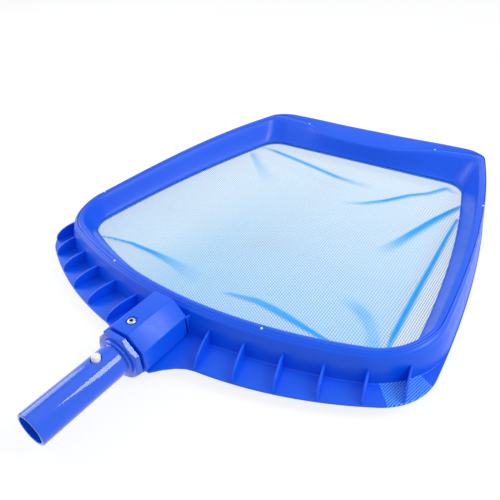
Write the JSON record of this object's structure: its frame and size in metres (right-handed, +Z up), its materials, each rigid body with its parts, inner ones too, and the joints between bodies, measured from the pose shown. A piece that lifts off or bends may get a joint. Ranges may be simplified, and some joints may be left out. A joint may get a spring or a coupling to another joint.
{
  "type": "leaf skimmer net",
  "caption": "Flat leaf skimmer net head: rounded trapezoid blue rim with ribbed rear flange, clamped net, octagonal socket and riveted pole stub with spring snap buttons.",
  "frame": {"origin": "middle of the whole head's plan box, at the height of the socket block's lower flat", "axes": "+Y away from the handle towards the straight leading edge, along the handle's axis; +X to the right seen from the handle; +Z up, out of the open side of the rim"},
  "size_m": [0.4296, 0.5728, 0.0463],
  "materials": {
    "blue_frame": "satin moulded polypropylene",
    "blue_ring": "satin moulded polypropylene",
    "blue_stub": "glossy moulded polypropylene",
    "net_fabric": "fine woven polyester net",
    "spring_steel": "rolled strip",
    "rivet_aluminium": "as headed",
    "mandrel_steel": "dark drawn wire",
    "white_acetal": "smooth moulded acetal"
  },
  "bodies": {
    "head": {"frame_body": "blue_frame", "net_ring": "blue_ring", "pole_stub": "blue_stub", "net": "net_fabric", "clip_bend": "spring_steel", "blind_rivet": "rivet_aluminium", "rivet_mandrel": "mandrel_steel", "seam_peg_1": "white_acetal", "seam_peg_2": "white_acetal", "seam_peg_3": "white_acetal", "seam_peg_4": "white_acetal", "seam_peg_5": "white_acetal", "seam_peg_6": "white_acetal"},
    "snap_top": {"clip_leg_top": "spring_steel", "snap_button_top": "white_acetal"},
    "snap_bottom": {"clip_leg_bottom": "spring_steel", "snap_button_bottom": "white_acetal"}
  },
  "joints": [
    {"name": "press_top_button", "type": "hinge", "parent": "head", "child": "snap_top", "pos_m": [0, -0.1837, 0.0264], "axis": [1, 0, 0], "range_deg": [0, 5.8], "stiffness_Nm_per_rad": 2.5, "springref_deg": -5.73},
    {"name": "press_bottom_button", "type": "hinge", "parent": "head", "child": "snap_bottom", "pos_m": [0, -0.1837, 0.0196], "axis": [-1, 0, 0], "range_deg": [0, 5.8], "stiffness_Nm_per_rad": 2.5, "springref_deg": -5.73}
  ]
}
